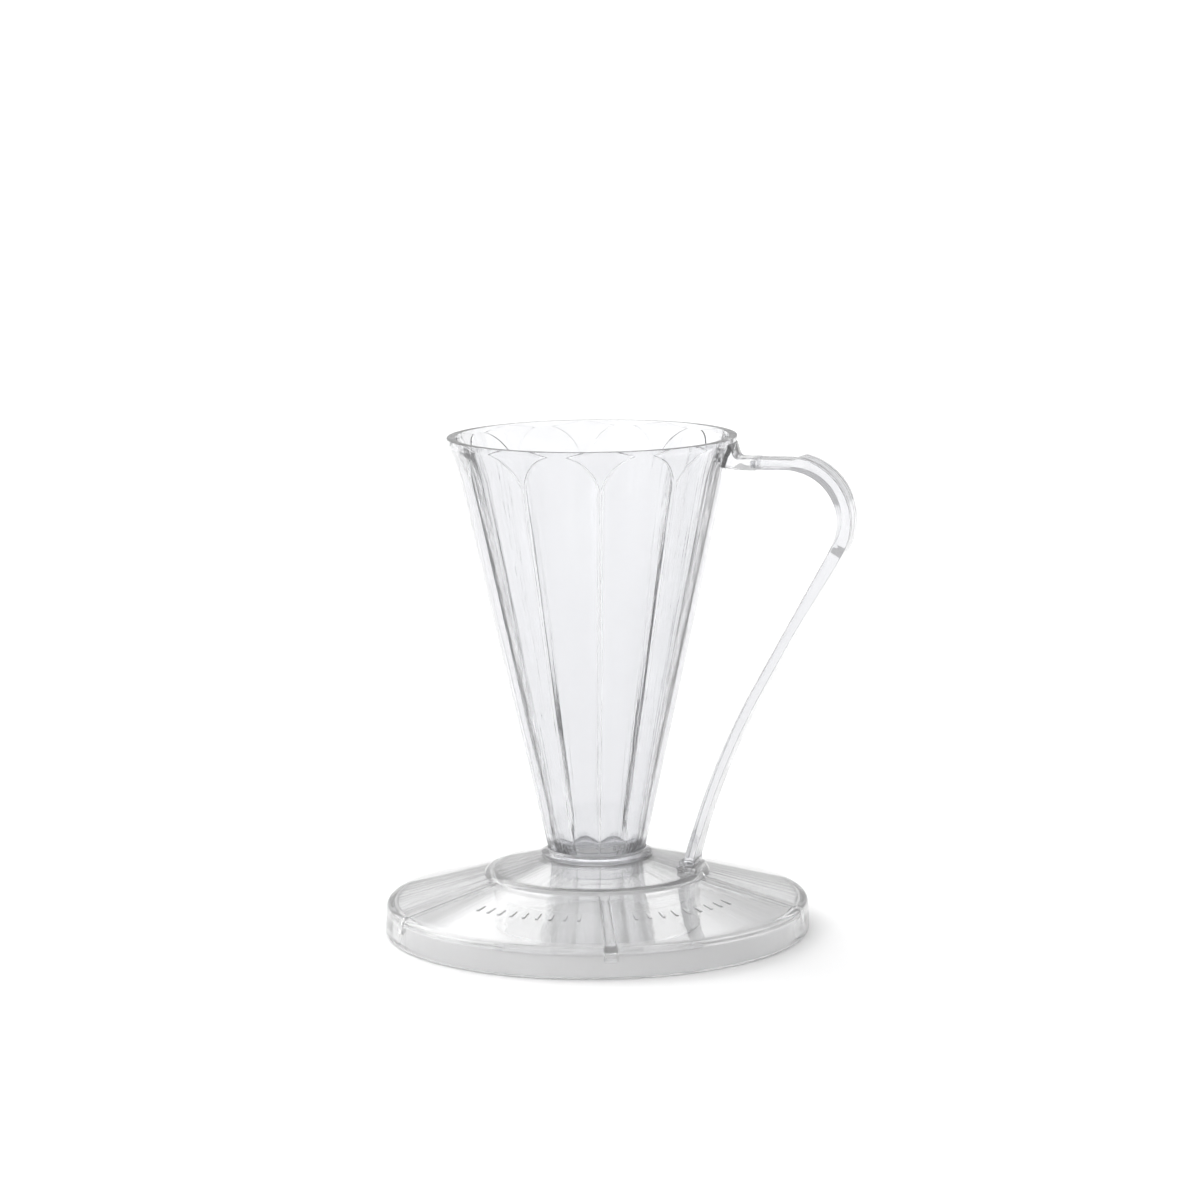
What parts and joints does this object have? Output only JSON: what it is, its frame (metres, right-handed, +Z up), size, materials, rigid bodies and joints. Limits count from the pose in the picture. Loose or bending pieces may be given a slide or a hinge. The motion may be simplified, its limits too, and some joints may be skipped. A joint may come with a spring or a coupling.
{
  "type": "pour over dripper",
  "caption": "Clear pour over coffee dripper: a steep fluted cone with a strap handle, seated on a wide sloping saucer with a locating ring under it.",
  "frame": {"origin": "on the cone's axis, in the plane of the saucer's foot", "axes": "+Z up along the cone's axis, +X towards the handle"},
  "size_m": [0.1092, 0.098, 0.1144],
  "materials": {
    "saucer_plastic": "water-clear moulded plastic, polished, with a faint cool tint in thick places",
    "cone_plastic": "water-clear moulded plastic, polished, with a faint cool tint in thick places",
    "handle_plastic": "water-clear moulded plastic, polished, with a faint cool tint in thick places"
  },
  "bodies": {
    "saucer": {"base_plate": "saucer_plastic", "locating_ring": "saucer_plastic"},
    "dripper": {"brewing_cone": "cone_plastic", "handle": "handle_plastic"}
  },
  "joints": [
    {"name": "dripper_lift", "type": "slide", "parent": "saucer", "child": "dripper", "axis": [0, 0, 1], "range_m": [0, 0.03]}
  ]
}
